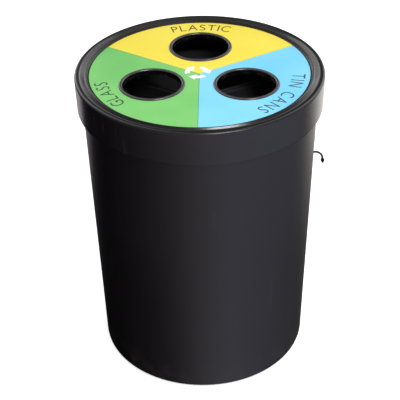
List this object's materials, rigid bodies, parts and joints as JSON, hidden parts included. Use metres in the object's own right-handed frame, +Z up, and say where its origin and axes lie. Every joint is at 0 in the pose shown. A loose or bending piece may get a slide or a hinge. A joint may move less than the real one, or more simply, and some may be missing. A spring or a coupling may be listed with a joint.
{
  "type": "litter bin",
  "caption": "Round street litter bin: tapered tub, lift-off lid with round throw-in apertures and coloured stream labels, and wedge liners with wire bails.",
  "frame": {"origin": "centre of the foot, on the floor", "axes": "+Z up, -Y to the front between the two front apertures, the single aperture at +Y, the tether at +X"},
  "size_m": [0.5678, 0.56, 0.73],
  "materials": {
    "moulded_black": "fine satin moulded skin",
    "yellow_vinyl": "printed satin vinyl",
    "green_vinyl": "printed satin vinyl",
    "blue_vinyl": "printed satin vinyl",
    "liner_grey": "fine matt moulded skin",
    "zinc_wire": "zinc plated",
    "grip_black": "matt",
    "braided_cord": "woven"
  },
  "bodies": {
    "tub": {"tub": "moulded_black", "tether_cord": "braided_cord", "tether_knot_outer": "braided_cord", "tether_knot_inner": "braided_cord"},
    "lid": {"lid": "moulded_black", "aperture_ring_back": "moulded_black", "aperture_ring_left": "moulded_black", "aperture_ring_right": "moulded_black", "label_yellow": "yellow_vinyl", "label_green": "green_vinyl", "label_blue": "blue_vinyl"},
    "liner_back": {"liner_back": "liner_grey"},
    "bail_back": {"bail_back": "zinc_wire", "bail_grip_back": "grip_black"},
    "liner_left": {"liner_left": "liner_grey"},
    "bail_left": {"bail_left": "zinc_wire", "bail_grip_left": "grip_black"},
    "liner_right": {"liner_right": "liner_grey"},
    "bail_right": {"bail_right": "zinc_wire", "bail_grip_right": "grip_black"}
  },
  "joints": [
    {"name": "lid_lift", "type": "slide", "parent": "tub", "child": "lid", "axis": [0, 0, 1], "range_m": [0, 1]},
    {"name": "liner_back_lift", "type": "slide", "parent": "tub", "child": "liner_back", "axis": [0, 0, 1], "range_m": [0, 0.74]},
    {"name": "bail_back_hinge", "type": "hinge", "parent": "liner_back", "child": "bail_back", "pos_m": [0, 0.112, 0.635], "axis": [1, 0, 0], "range_deg": [0, 90]},
    {"name": "liner_left_lift", "type": "slide", "parent": "tub", "child": "liner_left", "axis": [0, 0, 1], "range_m": [0, 0.74]},
    {"name": "bail_left_hinge", "type": "hinge", "parent": "liner_left", "child": "bail_left", "pos_m": [-0.09699, -0.056, 0.635], "axis": [-0.5, 0.866, 0], "range_deg": [0, 90]},
    {"name": "liner_right_lift", "type": "slide", "parent": "tub", "child": "liner_right", "axis": [0, 0, 1], "range_m": [0, 0.74]},
    {"name": "bail_right_hinge", "type": "hinge", "parent": "liner_right", "child": "bail_right", "pos_m": [0.09699, -0.056, 0.635], "axis": [-0.5, -0.866, 0], "range_deg": [0, 90]}
  ],
  "couplings": [
    {"joint": "liner_back_lift", "follows": "lid_lift", "ratio": 0.74},
    {"joint": "bail_back_hinge", "follows": "lid_lift", "rad_per_m": 1.57},
    {"joint": "liner_left_lift", "follows": "lid_lift", "ratio": 0.74},
    {"joint": "bail_left_hinge", "follows": "lid_lift", "rad_per_m": 1.57},
    {"joint": "liner_right_lift", "follows": "lid_lift", "ratio": 0.74},
    {"joint": "bail_right_hinge", "follows": "lid_lift", "rad_per_m": 1.57}
  ]
}
